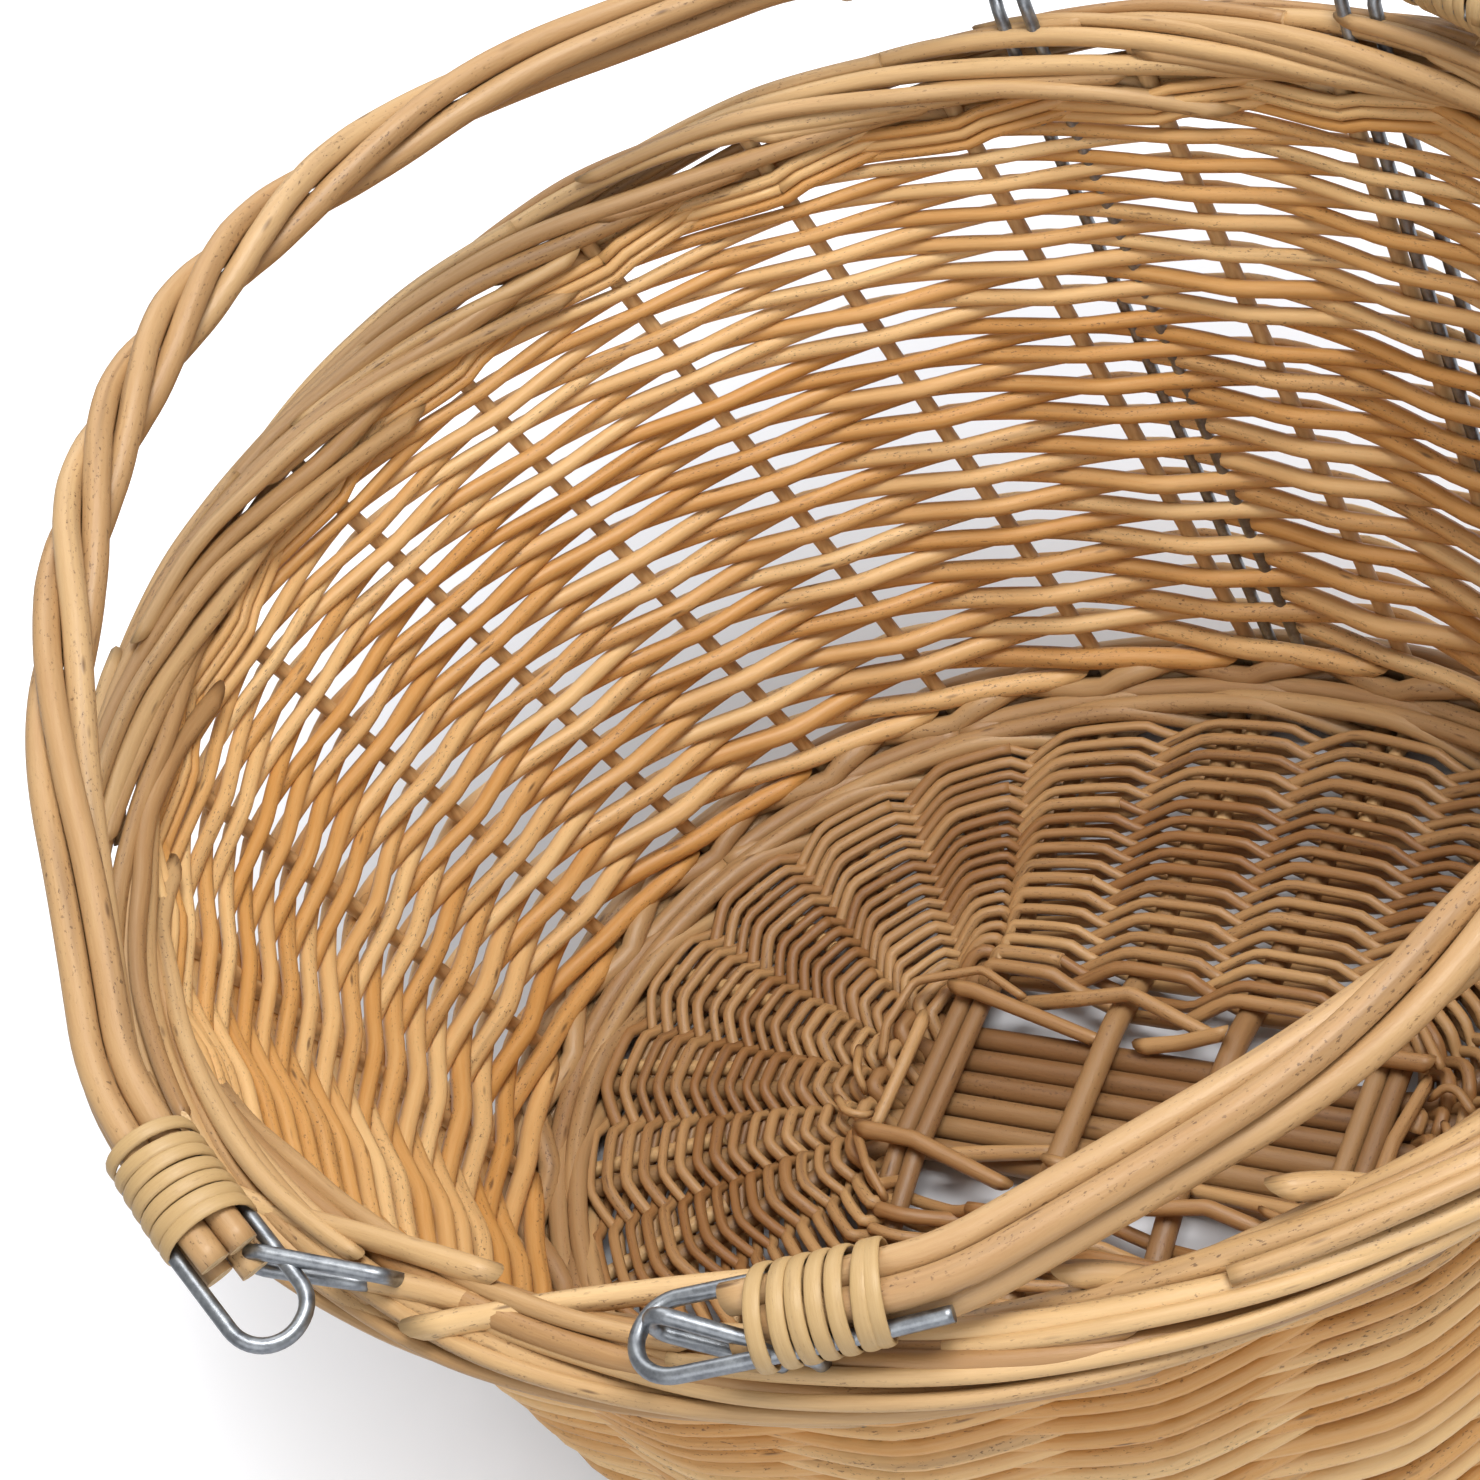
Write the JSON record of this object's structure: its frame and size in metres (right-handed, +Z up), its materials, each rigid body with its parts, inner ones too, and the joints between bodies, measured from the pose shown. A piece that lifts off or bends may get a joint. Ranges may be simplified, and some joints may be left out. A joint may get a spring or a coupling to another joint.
{
  "type": "shopping basket",
  "caption": "Oval flared wicker shopping basket of woven willow with two swing handles folded outward on wire eyes.",
  "frame": {"origin": "on the floor under the middle of the basket", "axes": "+Z up, X the long way of the oval, -Y the front where the handles' near ends are"},
  "size_m": [0.4091, 0.3866, 0.2797],
  "materials": {
    "pale_willow": "satin",
    "buff_willow": "satin",
    "brown_willow": "satin",
    "cane": "satin",
    "wire": "galvanised"
  },
  "bodies": {
    "basket": {"base_long_stick_1": "brown_willow", "base_long_stick_2": "brown_willow", "base_long_stick_3": "brown_willow", "base_long_stick_4": "brown_willow", "base_long_stick_5": "brown_willow", "base_long_stick_6": "brown_willow", "base_short_stick_1": "brown_willow", "base_short_stick_2": "brown_willow", "base_short_stick_3": "brown_willow", "base_short_stick_4": "brown_willow", "base_short_stick_5": "brown_willow", "base_short_stick_6": "brown_willow", "side_stake_01": "buff_willow", "side_stake_02": "buff_willow", "side_stake_03": "buff_willow", "side_stake_04": "buff_willow", "side_stake_05": "buff_willow", "side_stake_06": "buff_willow", "side_stake_07": "buff_willow", "side_stake_08": "buff_willow", "side_stake_09": "buff_willow", "side_stake_10": "buff_willow", "side_stake_11": "buff_willow", "side_stake_12": "buff_willow", "side_stake_13": "buff_willow", "side_stake_14": "buff_willow", "side_stake_15": "buff_willow", "side_stake_16": "buff_willow", "side_stake_17": "buff_willow", "side_stake_18": "buff_willow", "side_stake_19": "buff_willow", "side_stake_20": "buff_willow", "side_stake_21": "buff_willow", "side_stake_22": "buff_willow", "side_stake_23": "buff_willow", "side_stake_24": "buff_willow", "base_weave": "brown_willow", "foot_wale": "buff_willow", "wall_weave": "buff_willow", "border": "pale_willow", "anchor_front_left": "wire", "anchor_front_right": "wire", "anchor_back_left": "wire", "anchor_back_right": "wire"},
    "handle_left": {"handle_left_rod_1": "pale_willow", "handle_left_rod_2": "pale_willow", "handle_left_rod_3": "pale_willow", "handle_left_rod_4": "pale_willow", "handle_left_eye_front": "wire", "handle_left_eye_back": "wire", "handle_left_binding_front": "cane", "handle_left_binding_back": "cane"},
    "handle_right": {"handle_right_rod_1": "pale_willow", "handle_right_rod_2": "pale_willow", "handle_right_rod_3": "pale_willow", "handle_right_rod_4": "pale_willow", "handle_right_eye_front": "wire", "handle_right_eye_back": "wire", "handle_right_binding_front": "cane", "handle_right_binding_back": "cane"}
  },
  "joints": [
    {"name": "handle_left_swing", "type": "hinge", "parent": "basket", "child": "handle_left", "pos_m": [-0.04675, 0, 0.22128], "axis": [0.018, 0.9998, 0], "range_deg": [0, 79]},
    {"name": "handle_right_swing", "type": "hinge", "parent": "basket", "child": "handle_right", "pos_m": [0.03625, 0, 0.22128], "axis": [-0.04, -0.9992, 0], "range_deg": [0, 102]}
  ]
}
